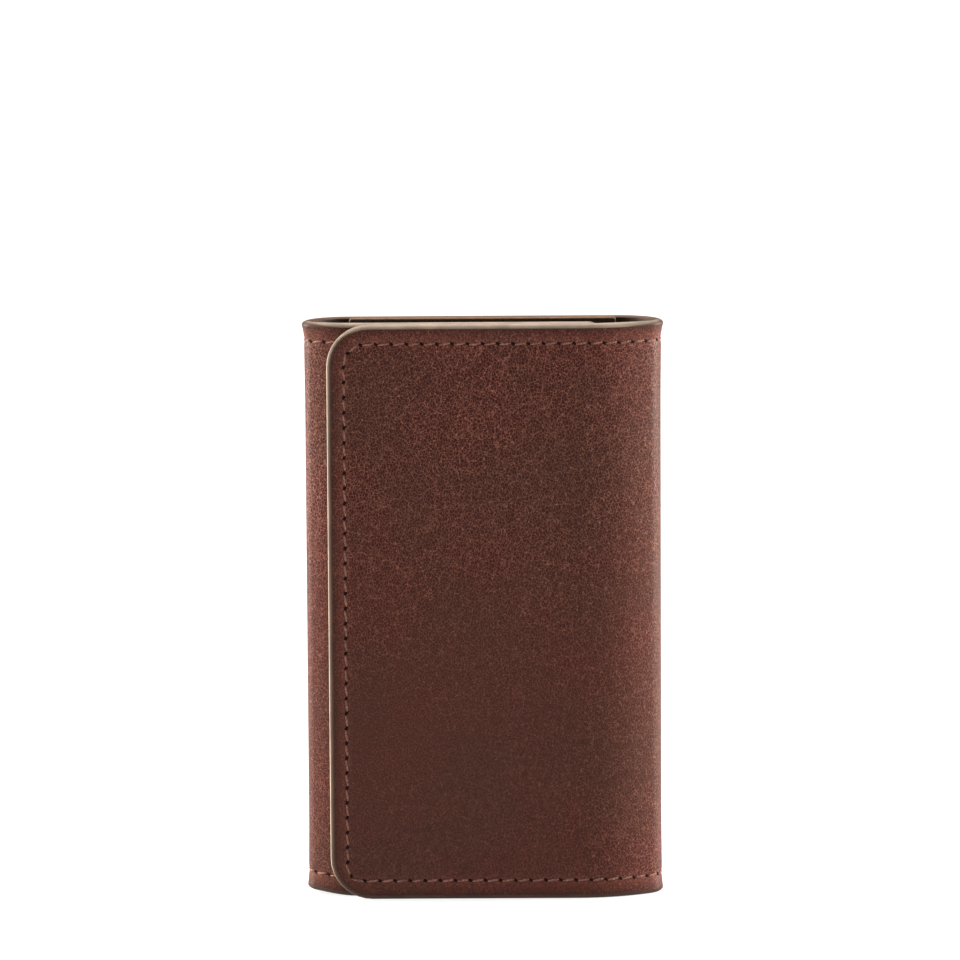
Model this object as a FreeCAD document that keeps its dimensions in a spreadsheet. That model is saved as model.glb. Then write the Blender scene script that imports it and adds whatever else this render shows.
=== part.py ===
# Trifold leather key case, shut, standing on its bottom edges.
# X runs across the front to the right, Y from the front to the back, Z up; the origin is under the middle.
import FreeCAD, Part
import math
import os
import Sketcher
from FreeCAD import Placement, Rotation, Vector

HOOK_COUNT = 6

# Driving sizes: lengths in millimetres, angles in degrees.
sizes = {
    # The shut case and its layers
    "case_width": 64.6,
    "case_height": 105.0,
    "case_depth": 16.0,
    "leather_thickness": 1.2,
    "lining_thickness": 0.8,
    "flap_gap": 1.0,
    # The spines: a round back bend, a tight front fold, then a gentle bow into the flap
    "back_fold_angle": 45.0,
    "front_fold_angle": 55.0,
    "right_fold_inside": 2.6,
    "left_fold_inside": 0.8,
    "fold_clearance": 0.1,
    # The flaps
    "outer_flap_setback": 4.2,
    "inner_flap_setback": 11.1,
    "outer_corner_radius": 7.6,
    "inner_corner_radius": 2.0,
    # The seam
    "seam_inset": 3.5,
    "edge_seam_inset": 3.1,
    "outer_seam_corner": 3.6,
    "inner_seam_corner": 1.5,
    "thread_width": 0.6,
    "thread_height": 0.2,
    "seam_end_gap": 0.4,
    # The inner panel on the back
    "panel_thickness": 2.0,
    "panel_side_gap": 0.1,
    "panel_end_gap": 0.1,
    "panel_corner_radius": 0.5,
    # The key rail and its rivets
    "rail_thickness": 1.0,
    "rail_side_gap": 1.6,
    "rail_drop": 8.0,
    "rail_leg_height": 9.0,
    "rail_end": 3.3,
    "rail_bend_inside": 0.4,
    "rail_corner_radius": 1.5,
    "flange_gap": 0.9,
    "rivet_inset": 4.0,
    "rivet_radius": 1.25,
    "rivet_head_radius": 2.4,
    "rivet_head_height": 0.9,
    "washer_radius": 2.8,
    "washer_thickness": 0.4,
    "fit_clearance": 0.05,
    # The hooks
    "hook_gap": 1.6,
    "wire_radius": 0.75,
    "stem_radius": 1.0,
    "collar_radius": 1.7,
    "collar_height": 1.4,
    "head_radius": 1.6,
    "head_height": 0.8,
    "swivel_clearance": 0.08,
    "neck_length": 0.8,
    "shoulder_angle": 60.0,
    "hook_side_length": 7.0,
    "tip_length": 2.2,
    # The gates
    "lug_radius": 1.2,
    "lug_drop": 1.4,
    "web_height": 1.2,
    "gate_eye_radius": 1.1,
    "gate_cheek": 0.5,
    "gate_thickness": 0.8,
    "gate_overlap": 0.6,
    "gate_clearance": 0.1,
    "pin_radius": 0.45,
    # The press stud
    "snap_margin": 2.2,
    "skive_depth": 0.5,
    "plate_radius": 5.0,
    "plate_thickness": 0.4,
    "boss_radius": 1.2,
    "socket_radius": 4.2,
    "socket_floor": 0.3,
    "socket_wall": 0.7,
    "socket_lip": 0.25,
    "socket_lip_width": 0.8,
    "socket_gap": 0.3,
    "stud_clearance": 0.4,
    "stud_end_gap": 0.1,
    "stud_undercut": 0.3,
    "stud_wall": 0.55,
    "stud_flange_radius": 4.0,
    "stud_flange_thickness": 0.3,
    "stud_bore_depth": 1.0,
    "post_cap_radius": 4.2,
    "post_cap_height": 0.5,
    "spring_thickness": 0.3,
    "spring_slit": 1.0,
    # How far a cutting tool runs past the face it opens
    "overrun": 1.0,
}

# Derived sizes and places. A quarter turn of each spine is the back bend; fold and bow share the rest.
derived = {
    "half_width": "Sizes.case_width / 2",
    "shell": "Sizes.leather_thickness + Sizes.lining_thickness",
    "spine_radius": "Sizes.case_depth / 2",
    "bend_x": "half_width - spine_radius",
    "front_y": "-Sizes.case_depth / 2",
    "inner_front_y": "front_y + shell + Sizes.flap_gap",
    "right_fold_radius": "Sizes.right_fold_inside + shell",
    "left_fold_radius": "Sizes.left_fold_inside + shell",
    "fold_sine": "sin(Sizes.front_fold_angle)",
    "fold_cosine": "cos(Sizes.front_fold_angle)",
    "right_bow_radius": "(-front_y - right_fold_radius * fold_sine) / (1 - fold_sine)",
    "left_bow_radius": "(-inner_front_y - left_fold_radius * fold_sine) / (1 - fold_sine)",
    "right_fold_x": "half_width - right_fold_radius",
    "left_fold_x": "left_fold_radius - half_width",
    "right_bow_x": "right_fold_x - (right_bow_radius - right_fold_radius) * fold_cosine",
    "right_bow_y": "(right_bow_radius - right_fold_radius) * fold_sine",
    "left_bow_x": "left_fold_x + (left_bow_radius - left_fold_radius) * fold_cosine",
    "left_bow_y": "(left_bow_radius - left_fold_radius) * fold_sine",
    "back_cut": "Sizes.fold_clearance / 2 / spine_radius * 180 / pi",
    "right_cut": "Sizes.fold_clearance / 2 / right_fold_radius * 180 / pi",
    "left_cut": "Sizes.fold_clearance / 2 / left_fold_radius * 180 / pi",
    "back_seam_end": "Sizes.seam_end_gap / spine_radius * 180 / pi",
    "right_seam_end": "Sizes.seam_end_gap / right_fold_radius * 180 / pi",
    "left_seam_end": "Sizes.seam_end_gap / left_fold_radius * 180 / pi",
    "outer_edge_x": "Sizes.outer_flap_setback - half_width",
    "inner_edge_x": "half_width - Sizes.inner_flap_setback",
    "lining_back_y": "Sizes.case_depth / 2 - shell",
    "panel_front_y": "lining_back_y - Sizes.panel_thickness",
    "flap_inside_y": "inner_front_y + shell",
    "panel_half": "bend_x - Sizes.panel_side_gap",
    "panel_top": "Sizes.case_height - Sizes.panel_end_gap",
    "rail_half": "panel_half - Sizes.rail_side_gap",
    "rail_front_y": "panel_front_y - Sizes.rail_thickness",
    "rail_top": "Sizes.case_height - Sizes.rail_drop",
    "flange_z": "rail_top - Sizes.rail_leg_height",
    "rail_bend_outside": "Sizes.rail_bend_inside + Sizes.rail_thickness",
    "rivet_x": "rail_half - Sizes.rivet_inset",
    "rivet_z": "(rail_top + flange_z + Sizes.rail_thickness) / 2",
    "swivel_y": "(panel_front_y + flap_inside_y) / 2",
    "flange_edge_y": "flap_inside_y + Sizes.flange_gap",
    "hook_pitch": f"2 * (rail_half - Sizes.rail_end) / {HOOK_COUNT - 1}",
    "hook_half": "(hook_pitch - Sizes.hook_gap) / 2 - Sizes.wire_radius",
    "collar_low": "-Sizes.swivel_clearance - Sizes.collar_height",
    "wire_start": "-Sizes.swivel_clearance - Sizes.collar_height / 2",
    "neck_low": "collar_low - Sizes.neck_length",
    "shoulder_radius": "hook_half / 2 / (1 - cos(Sizes.shoulder_angle))",
    "shoulder_drop": "shoulder_radius * sin(Sizes.shoulder_angle)",
    "shoulder_low": "neck_low - 2 * shoulder_drop",
    "hook_low": "shoulder_low - Sizes.hook_side_length",
    "tip_high": "hook_low + Sizes.tip_length",
    "head_low": "Sizes.rail_thickness + Sizes.swivel_clearance",
    "lug_thickness": "2 * Sizes.wire_radius",
    "lug_x": "hook_half - Sizes.wire_radius - Sizes.gate_clearance",
    "lug_z": "neck_low - Sizes.lug_drop",
    "gate_slot": "lug_thickness + 2 * Sizes.fit_clearance",
    "gate_width": "gate_slot + 2 * Sizes.gate_cheek",
    "gate_length": "lug_z - tip_high + Sizes.gate_overlap",
    "snap_x": "left_bow_x + Sizes.post_cap_radius + Sizes.snap_margin",
    "snap_z": "Sizes.case_height / 2",
    "plate_y": "front_y + Sizes.leather_thickness - Sizes.skive_depth",
    "socket_y": "plate_y + Sizes.plate_thickness",
    "socket_height": "inner_front_y - Sizes.socket_gap - socket_y",
    "chamber_radius": "Sizes.socket_radius - Sizes.socket_wall",
    "mouth_radius": "chamber_radius - Sizes.socket_lip_width",
    "stud_radius": "mouth_radius - Sizes.stud_clearance",
    "stud_neck_radius": "stud_radius - Sizes.stud_undercut",
    "post_radius": "stud_neck_radius - Sizes.stud_wall - Sizes.fit_clearance",
    "spring_low": "socket_height - Sizes.socket_lip - Sizes.fit_clearance - Sizes.spring_thickness",
    "stud_neck_height": "socket_height + Sizes.socket_gap - spring_low + Sizes.fit_clearance",
    "stud_height": "socket_height + Sizes.socket_gap - Sizes.socket_floor - Sizes.stud_end_gap",
}

doc = FreeCAD.newDocument("KeyCase")


def fill_sheet(name, cells, mark):
    sheet = doc.addObject("Spreadsheet::Sheet", name)
    for row, (alias, content) in enumerate(cells.items(), start=1):
        sheet.set(f"A{row}", alias)
        sheet.set(f"B{row}", f"{mark}{content}")
        sheet.setAlias(f"B{row}", alias)
    doc.recompute()
    return sheet


fill_sheet("Sizes", sizes, "")
sheet = fill_sheet("Places", derived, "=")


def value(expression):
    return float(sheet.evalExpression(expression))


TURNED_TO_FRONT = Rotation(Vector(1, 0, 0), 90)
TURNED_TO_BACK = Rotation(Vector(1, 0, 0), -90)
UPRIGHT = Rotation()


def place(item, at, turn=UPRIGHT):
    item.Placement = Placement(Vector(), turn)
    for axis, expression in zip("xyz", at):
        if expression != "0":
            item.setExpression(f"Placement.Base.{axis}", expression)


def new_body(label, at=("0", "0", "0"), turn=UPRIGHT):
    body = doc.addObject("PartDesign::Body", label)
    body.Label = label
    place(body, at, turn)
    return body


def primitive(body, kind, name, measures, at=("0", "0", "0"), turn=UPRIGHT):
    feature = body.newObject(f"PartDesign::{kind}", name)
    for measure, expression in measures.items():
        feature.setExpression(measure, expression)
    place(feature, at, turn)
    doc.recompute()
    return feature


def new_sketch(body, role, name):
    sketch = body.newObject("Sketcher::SketchObject", name)
    plane = next(item for item in body.Origin.OriginFeatures if item.Role == role)
    sketch.AttachmentSupport = [(plane, "")]
    sketch.MapMode = "FlatFace"
    return sketch


def drive(sketch, kind, where, expression):
    index = sketch.addConstraint(Sketcher.Constraint(kind, *where, value(expression)))
    sketch.setExpression(f"Constraints[{index}]", expression)


def draw_outline(sketch, corners, sides):
    # A side is None for a straight line, or (centre x, centre y, radius, counter-clockwise) for an arc.
    points = [Vector(value(x), value(y), 0) for x, y in corners]
    ends = []
    for number, side in enumerate(sides):
        first = points[number]
        last = points[(number + 1) % len(points)]
        if side is None:
            ends.append((sketch.addGeometry(Part.LineSegment(first, last), False), 1, 2))
            continue
        centre = Vector(value(side[0]), value(side[1]), 0)
        turns = [math.atan2(point.y - centre.y, point.x - centre.x) for point in (first, last)]
        if not side[3]:
            turns.reverse()
        circle = Part.Circle(centre, Vector(0, 0, 1), value(side[2]))
        arc = sketch.addGeometry(Part.ArcOfCircle(circle, turns[0], turns[1]), False)
        ends.append((arc, 1, 2) if side[3] else (arc, 2, 1))
    for number, (x, y) in enumerate(corners):
        if number < len(ends):
            edge, point = ends[number][0], ends[number][1]
        else:
            edge, point = ends[-1][0], ends[-1][2]
        drive(sketch, "DistanceX", (edge, point), x)
        drive(sketch, "DistanceY", (edge, point), y)
        before = ends[number - 1]
        if 0 < number < len(ends) or (number == 0 and len(ends) == len(corners)):
            sketch.addConstraint(Sketcher.Constraint("Coincident", before[0], before[2], edge, point))
    for (edge, _, _), side in zip(ends, sides):
        if side is not None:
            drive(sketch, "Radius", (edge,), side[2])


def pad(body, sketch, length):
    feature = body.newObject("PartDesign::Pad", "Pad")
    feature.Profile = sketch
    feature.setExpression("Length", length)
    sketch.Visibility = False
    doc.recompute()
    return feature


def round_edges(body, radius, wanted):
    base = body.Tip
    names = [f"Edge{n}" for n, edge in enumerate(base.Shape.Edges, start=1) if wanted(edge)]
    fillet = body.newObject("PartDesign::Fillet", "Rounding")
    fillet.Base = (base, names)
    fillet.setExpression("Radius", radius)
    doc.recompute()


def runs_along(edge, axis):
    direction = edge.Vertexes[-1].Point - edge.Vertexes[0].Point
    return direction.Length > 0 and abs(direction.normalize().dot(axis)) > math.cos(math.radians(1))


def group(label, members):
    compound = doc.addObject("Part::Compound", label)
    compound.Label = label
    compound.Links = members
    doc.recompute()
    return compound


# The line of the shell, seen from above. Each bend is centre x, centre y and outside radius.
bends = {
    "right_back": ("Places.bend_x", "0", "Places.spine_radius"),
    "right_fold": ("Places.right_fold_x", "0", "Places.right_fold_radius"),
    "right_bow": ("Places.right_bow_x", "Places.right_bow_y", "Places.right_bow_radius"),
    "left_back": ("-Places.bend_x", "0", "Places.spine_radius"),
    "left_fold": ("Places.left_fold_x", "0", "Places.left_fold_radius"),
    "left_bow": ("Places.left_bow_x", "Places.left_bow_y", "Places.left_bow_radius"),
}


def station(bend, angle, x=None):
    # A point of the shell's line as a function of its depth under the outer face.
    centre_x, centre_y, radius = bends[bend]

    def at_depth(depth):
        reach = f"({radius} - ({depth}))"
        across = x or f"{centre_x} + {reach} * cos({angle})"
        return across, f"{centre_y} + {reach} * sin({angle})"

    return at_depth


# Each run lists its stations and, between them, the bend that it follows or None on the flat.
def shell_runs(back_end, right_end, left_end):
    back_fold = "Sizes.back_fold_angle"
    half_fold = "Sizes.front_fold_angle / 2"
    return {
        "back": (
            [
                station("left_back", f"180 - {back_fold} - {back_end}"),
                station("left_back", "90"),
                station("right_back", "90"),
                station("right_back", f"{back_fold} + {back_end}"),
            ],
            ["left_back", None, "right_back"],
            False,
        ),
        "right_spine": (
            [
                station("right_back", f"{back_fold} - {back_end}"),
                station("right_back", "0"),
                station("right_fold", f"{right_end} - {half_fold}"),
            ],
            ["right_back", "right_fold"],
            False,
        ),
        "outer_flap": (
            [
                station("right_fold", f"-{half_fold} - {right_end}"),
                station("right_bow", "-Sizes.front_fold_angle"),
                station("right_bow", "-90"),
                station("right_bow", "-90", "Places.outer_edge_x"),
            ],
            ["right_fold", "right_bow", None],
            False,
        ),
        "left_spine": (
            [
                station("left_back", f"180 - {back_fold} + {back_end}"),
                station("left_back", "180"),
                station("left_fold", f"180 + {half_fold} - {left_end}"),
            ],
            ["left_back", "left_fold"],
            True,
        ),
        "inner_flap": (
            [
                station("left_fold", f"180 + {half_fold} + {left_end}"),
                station("left_bow", "180 + Sizes.front_fold_angle"),
                station("left_bow", "270"),
                station("left_bow", "270", "Places.inner_edge_x"),
            ],
            ["left_fold", "left_bow", None],
            True,
        ),
    }


runs = shell_runs("Places.back_cut", "Places.right_cut", "Places.left_cut")
seams = shell_runs("Places.back_seam_end", "Places.right_seam_end", "Places.left_seam_end")


def band(label, run, near, far, height, base="0", curved_only=False):
    # A strip of the shell between two depths, standing on the level of its base.
    stations, followed, turning = run
    if curved_only:
        stations, followed = stations[:-1], followed[:-1]

    def sides(depth, counter_clockwise):
        return [
            bend and (bends[bend][0], bends[bend][1], f"{bends[bend][2]} - ({depth})", counter_clockwise)
            for bend in followed
        ]

    corners = [point(near) for point in stations] + [point(far) for point in reversed(stations)]
    outline = sides(near, turning) + [None] + sides(far, not turning)[::-1] + [None]
    body = new_body(label, ("0", "0", base))
    sketch = new_sketch(body, "XY_Plane", "Profile")
    draw_outline(sketch, corners, outline)
    pad(body, sketch, height)
    return body


def round_free_edge(body, edge_x, radius):
    limit = value(edge_x)
    across = Vector(0, 1, 0)

    def at_free_corner(edge):
        middle = edge.BoundBox.Center
        return runs_along(edge, across) and math.isclose(middle.x, limit, abs_tol=value("Sizes.fit_clearance"))

    round_edges(body, radius, at_free_corner)


# Leather outside and lining inside, for each of the five panels
leather = {}
lining = {}
for panel_name, run in runs.items():
    leather[panel_name] = band(
        f"{panel_name}_leather", run, "0", "Sizes.leather_thickness", "Sizes.case_height"
    )
    lining[panel_name] = band(
        f"{panel_name}_lining", run, "Sizes.leather_thickness", "Places.shell", "Sizes.case_height"
    )
for layer in (leather, lining):
    round_free_edge(layer["outer_flap"], "Places.outer_edge_x", "Sizes.outer_corner_radius")
    round_free_edge(layer["inner_flap"], "Places.inner_edge_x", "Sizes.inner_corner_radius")

# The seam thread: a run along the top and the bottom of each panel, and down the free edges of the flaps
low_seam = "Sizes.seam_inset - Sizes.thread_width / 2"
high_seam = "Sizes.case_height - Sizes.seam_inset - Sizes.thread_width / 2"


def seam_runs(name, curved_only):
    ends = (("low", low_seam), ("high", high_seam))
    width = "Sizes.thread_width"
    return [
        band(f"{name}_seam_{end}", seams[name], "-Sizes.thread_height", "0", width, base, curved_only)
        for end, base in ends
    ]


def edge_seam(label, start_x, edge_x, inward, seam_corner, face_y):
    # The flat part of a flap's seam: out along the top, round the corner, down the free edge and back.
    sign = "" if inward > 0 else "-"
    bend_x = f"{edge_x} + ({sign}(Sizes.edge_seam_inset + {seam_corner}))"
    bend_low = f"(Sizes.seam_inset + {seam_corner})"
    bend_high = f"Sizes.case_height - {bend_low}"
    corners = []
    turns = []
    for thread_side in ("-", "+"):
        half_thread = f"{thread_side} Sizes.thread_width / 2"
        edge = f"{edge_x} + ({sign}(Sizes.edge_seam_inset {half_thread}))"
        bottom = f"(Sizes.seam_inset {half_thread})"
        top = f"Sizes.case_height - {bottom}"
        radius = f"({bend_low} - {bottom})"
        path = [
            (start_x, top),
            (bend_x, top),
            (edge, bend_high),
            (edge, bend_low),
            (bend_x, bottom),
            (start_x, bottom),
        ]
        high = (bend_x, bend_high, radius)
        low = (bend_x, bend_low, radius)
        turns.append([None, high, None, low, None])
        corners.append(path)
    going = inward > 0
    sides = [arc and (*arc, going) for arc in turns[0]] + [None]
    sides += [arc and (*arc, not going) for arc in reversed(turns[1])] + [None]
    body = new_body(label, ("0", face_y, "0"))
    sketch = new_sketch(body, "XZ_Plane", "Track")
    draw_outline(sketch, corners[0] + corners[1][::-1], sides)
    pad(body, sketch, "Sizes.thread_height")
    return body


threads = [group(f"{name}_thread", seam_runs(name, False)) for name in ("back", "right_spine", "left_spine")]
outer_edge_seam = edge_seam(
    "outer_flap_seam_edge",
    "Places.right_bow_x",
    "Places.outer_edge_x",
    1,
    "Sizes.outer_seam_corner",
    "Places.front_y",
)
inner_edge_seam = edge_seam(
    "inner_flap_seam_edge",
    "Places.left_bow_x",
    "Places.inner_edge_x",
    -1,
    "Sizes.inner_seam_corner",
    "Places.inner_front_y",
)
threads.append(group("outer_flap_thread", seam_runs("outer_flap", True) + [outer_edge_seam]))
threads.append(group("inner_flap_thread", seam_runs("inner_flap", True) + [inner_edge_seam]))


def bore(body, name, radius, depth, at, turn=TURNED_TO_BACK):
    return primitive(body, "SubtractiveCylinder", name, {"Radius": radius, "Height": depth}, at, turn)


# The inner panel, sewn to the back, with holes for the rivets and sinkings for their washers
panel = new_body("key_panel", ("0", "Places.lining_back_y", "0"))
panel_sketch = new_sketch(panel, "XZ_Plane", "Outline")
panel_x = "Places.panel_half"
panel_round = "Sizes.panel_corner_radius"
panel_low = "Sizes.panel_end_gap"
panel_high = "Places.panel_top"
draw_outline(
    panel_sketch,
    [
        (f"{panel_round} - {panel_x}", panel_low),
        (f"{panel_x} - {panel_round}", panel_low),
        (panel_x, f"{panel_low} + {panel_round}"),
        (panel_x, f"{panel_high} - {panel_round}"),
        (f"{panel_x} - {panel_round}", panel_high),
        (f"{panel_round} - {panel_x}", panel_high),
        (f"-{panel_x}", f"{panel_high} - {panel_round}"),
        (f"-{panel_x}", f"{panel_low} + {panel_round}"),
    ],
    [
        None,
        (f"{panel_x} - {panel_round}", f"{panel_low} + {panel_round}", panel_round, True),
        None,
        (f"{panel_x} - {panel_round}", f"{panel_high} - {panel_round}", panel_round, True),
        None,
        (f"{panel_round} - {panel_x}", f"{panel_high} - {panel_round}", panel_round, True),
        None,
        (f"{panel_round} - {panel_x}", f"{panel_low} + {panel_round}", panel_round, True),
    ],
)
pad(panel, panel_sketch, "Sizes.panel_thickness")

# The key rail: an L-shaped plate with a leg on the panel and a flange that carries the hooks
rail = new_body("key_rail", ("-Places.rail_half", "0", "0"))
rail_sketch = new_sketch(rail, "YZ_Plane", "Section")
leg_back = "Places.panel_front_y"
leg_front = "Places.rail_front_y"
flange_low = "Places.flange_z"
flange_high = "Places.flange_z + Sizes.rail_thickness"
bend_y = "Places.panel_front_y - Places.rail_bend_outside"
bend_z = "Places.flange_z + Places.rail_bend_outside"
draw_outline(
    rail_sketch,
    [
        (leg_back, bend_z),
        (bend_y, flange_low),
        ("Places.flange_edge_y", flange_low),
        ("Places.flange_edge_y", flange_high),
        (bend_y, flange_high),
        (leg_front, bend_z),
        (leg_front, "Places.rail_top"),
        (leg_back, "Places.rail_top"),
    ],
    [
        (bend_y, bend_z, "Places.rail_bend_outside", False),
        None,
        None,
        None,
        (bend_y, bend_z, "Sizes.rail_bend_inside", True),
        None,
        None,
        None,
    ],
)
pad(rail, rail_sketch, "2 * Places.rail_half")


def rail_corner(edge):
    middle = edge.BoundBox.Center
    lip = math.isclose(middle.y, value("Places.flange_edge_y"), abs_tol=value("Sizes.fit_clearance"))
    top = math.isclose(middle.z, value("Places.rail_top"), abs_tol=value("Sizes.fit_clearance"))
    return (lip and runs_along(edge, Vector(0, 0, 1))) or (top and runs_along(edge, Vector(0, 1, 0)))


round_edges(rail, "Sizes.rail_corner_radius", rail_corner)
hook_places = [f"({number} - {HOOK_COUNT - 1} / 2) * Places.hook_pitch" for number in range(HOOK_COUNT)]
for number, hook_x in enumerate(hook_places, start=1):
    bore(
        rail,
        f"HookHole{number}",
        "Sizes.stem_radius + Sizes.swivel_clearance",
        "Sizes.rail_thickness + 2 * Sizes.overrun",
        (f"Places.rail_half + {hook_x}", "Places.swivel_y", f"{flange_low} - Sizes.overrun"),
        UPRIGHT,
    )

# Two dome-headed rivets through the rail and the panel, each clenched on a sunk washer
rivets = []
washers = []
rivet_hole = "Sizes.rivet_radius + Sizes.fit_clearance"
for side, sign in (("left", "-"), ("right", "")):
    rivet_x = f"{sign}Places.rivet_x"
    bore(
        rail,
        f"RivetHole_{side}",
        rivet_hole,
        "Sizes.rail_thickness + 2 * Sizes.overrun",
        (f"Places.rail_half + ({rivet_x})", f"{leg_front} - Sizes.overrun", "Places.rivet_z"),
    )
    bore(
        panel,
        f"RivetHole_{side}",
        rivet_hole,
        "Sizes.panel_thickness + 2 * Sizes.overrun",
        (rivet_x, "-Sizes.panel_thickness - Sizes.overrun", "Places.rivet_z"),
    )
    bore(
        panel,
        f"WasherSinking_{side}",
        "Sizes.washer_radius + Sizes.fit_clearance",
        "Sizes.washer_thickness + Sizes.overrun",
        (rivet_x, "-Sizes.washer_thickness", "Places.rivet_z"),
    )
    rivet = new_body(f"rivet_{side}", (rivet_x, leg_front, "Places.rivet_z"), TURNED_TO_FRONT)
    shank = "Sizes.rail_thickness + Sizes.panel_thickness"
    primitive(
        rivet,
        "AdditiveCylinder",
        "Shank",
        {"Radius": "Sizes.rivet_radius", "Height": shank},
        ("0", "0", f"-({shank})"),
    )
    dome = primitive(
        rivet,
        "AdditiveEllipsoid",
        "Dome",
        {"Radius1": "Sizes.rivet_head_height", "Radius2": "Sizes.rivet_head_radius"},
    )
    dome.Angle1 = 0
    rivets.append(rivet)
    washer = new_body(
        f"washer_{side}",
        (rivet_x, "Places.lining_back_y - Sizes.washer_thickness", "Places.rivet_z"),
        TURNED_TO_BACK,
    )
    primitive(
        washer,
        "AdditiveCylinder",
        "Disc",
        {"Radius": "Sizes.washer_radius", "Height": "Sizes.washer_thickness"},
    )
    bore(
        washer,
        "Hole",
        rivet_hole,
        "Sizes.washer_thickness + 2 * Sizes.overrun",
        ("0", "0", "-Sizes.overrun"),
        UPRIGHT,
    )
    washers.append(washer)
rail_rivets = group("rail_rivets", rivets)
rail_washers = group("rail_washers", washers)


def hook_wire(body):
    # Bent wire: neck, two shoulder bends out to the left, long side, bottom bend, short tip.
    path = new_sketch(body, "XZ_Plane", "WirePath")
    half = "Places.hook_half"
    turn = "Places.shoulder_radius"
    middle_z = "Places.neck_low - Places.shoulder_drop"
    draw_outline(
        path,
        [
            ("0", "Places.wire_start"),
            ("0", "Places.neck_low"),
            (f"-{half} / 2", middle_z),
            (f"-{half}", "Places.shoulder_low"),
            (f"-{half}", "Places.hook_low"),
            ("0", f"Places.hook_low - {half}"),
            (half, "Places.hook_low"),
            (half, "Places.tip_high"),
        ],
        [
            None,
            (f"-{turn}", "Places.neck_low", turn, False),
            (f"{turn} - {half}", "Places.shoulder_low", turn, True),
            None,
            ("0", "Places.hook_low", half, True),
            ("0", "Places.hook_low", half, True),
            None,
        ],
    )
    section = new_sketch(body, "XY_Plane", "WireSection")
    section.setExpression("AttachmentOffset.Base.z", "Places.wire_start")
    ring = section.addGeometry(Part.Circle(Vector(), Vector(0, 0, 1), value("Sizes.wire_radius")), False)
    section.addConstraint(Sketcher.Constraint("Coincident", ring, 3, -1, 1))
    drive(section, "Radius", (ring,), "Sizes.wire_radius")
    doc.recompute()
    wire = body.newObject("PartDesign::AdditivePipe", "Wire")
    wire.Profile = section
    wire.Spine = (path, [f"Edge{n}" for n in range(1, len(path.Shape.Edges) + 1)])
    path.Visibility = False
    section.Visibility = False
    doc.recompute()


def make_hook(label, at):
    hook = new_body(label, at)
    hook_wire(hook)
    primitive(
        hook,
        "AdditiveSphere",
        "Tip",
        {"Radius": "Sizes.wire_radius"},
        ("Places.hook_half", "0", "Places.tip_high"),
    )
    primitive(
        hook,
        "AdditiveCylinder",
        "Collar",
        {"Radius": "Sizes.collar_radius", "Height": "Sizes.collar_height"},
        ("0", "0", "Places.collar_low"),
    )
    primitive(
        hook,
        "AdditiveCylinder",
        "Stem",
        {"Radius": "Sizes.stem_radius", "Height": "Places.head_low - Places.wire_start"},
        ("0", "0", "Places.wire_start"),
    )
    head = primitive(
        hook,
        "AdditiveEllipsoid",
        "Head",
        {"Radius1": "Sizes.head_height", "Radius2": "Sizes.head_radius"},
        ("0", "0", "Places.head_low"),
    )
    head.Angle1 = 0
    half_lug = "Places.lug_thickness / 2"
    primitive(
        hook,
        "AdditiveCylinder",
        "Lug",
        {"Radius": "Sizes.lug_radius", "Height": "Places.lug_thickness"},
        ("Places.lug_x", f"-{half_lug}", "Places.lug_z"),
        TURNED_TO_BACK,
    )
    primitive(
        hook,
        "AdditiveBox",
        "Web",
        {
            "Length": "Places.lug_x + Sizes.wire_radius / 2",
            "Width": "Places.lug_thickness",
            "Height": "Sizes.web_height",
        },
        ("-Sizes.wire_radius / 2", f"-{half_lug}", "Places.lug_z - Sizes.web_height / 2"),
    )
    bore(
        hook,
        "PinHole",
        "Sizes.pin_radius + Sizes.fit_clearance",
        "Places.lug_thickness + 2 * Sizes.overrun",
        ("Places.lug_x", f"-{half_lug} - Sizes.overrun", "Places.lug_z"),
    )
    return hook


def make_gate(label, at):
    # A bar with a forked eye that straddles the wire and its lug and swings inward.
    gate = new_body(label, at)
    half_width = "Places.gate_width / 2"
    primitive(
        gate,
        "AdditiveCylinder",
        "Eye",
        {"Radius": "Sizes.gate_eye_radius", "Height": "Places.gate_width"},
        ("0", f"-{half_width}", "0"),
        TURNED_TO_BACK,
    )
    primitive(
        gate,
        "AdditiveBox",
        "Bar",
        {"Length": "Sizes.gate_thickness", "Width": "Places.gate_width", "Height": "Places.gate_length"},
        ("-Sizes.gate_thickness", f"-{half_width}", "-Places.gate_length"),
    )
    slot_depth = "(Sizes.lug_radius + Sizes.gate_clearance)"
    primitive(
        gate,
        "SubtractiveBox",
        "Fork",
        {
            "Length": f"2 * {slot_depth}",
            "Width": "Places.gate_slot",
            "Height": f"2 * {slot_depth}",
        },
        (f"-{slot_depth}", "-Places.gate_slot / 2", f"-{slot_depth}"),
    )
    bore(
        gate,
        "PinHole",
        "Sizes.pin_radius + Sizes.fit_clearance",
        "Places.gate_width + 2 * Sizes.overrun",
        ("0", f"-{half_width} - Sizes.overrun", "0"),
    )
    return gate


def make_pin(label, at):
    pin = new_body(label, at, TURNED_TO_BACK)
    primitive(
        pin,
        "AdditiveCylinder",
        "Pin",
        {"Radius": "Sizes.pin_radius", "Height": "Places.gate_width"},
        ("0", "0", "-Places.gate_width / 2"),
    )
    return pin


hooks = []
for number, hook_x in enumerate(hook_places, start=1):
    pivot = (f"{hook_x} + Places.lug_x", "Places.swivel_y", "Places.flange_z + Places.lug_z")
    hooks.append(make_hook(f"hook_{number}", (hook_x, "Places.swivel_y", "Places.flange_z")))
    hooks.append(make_gate(f"hook_{number}_gate", pivot))
    hooks.append(make_pin(f"hook_{number}_pin", pivot))

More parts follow.
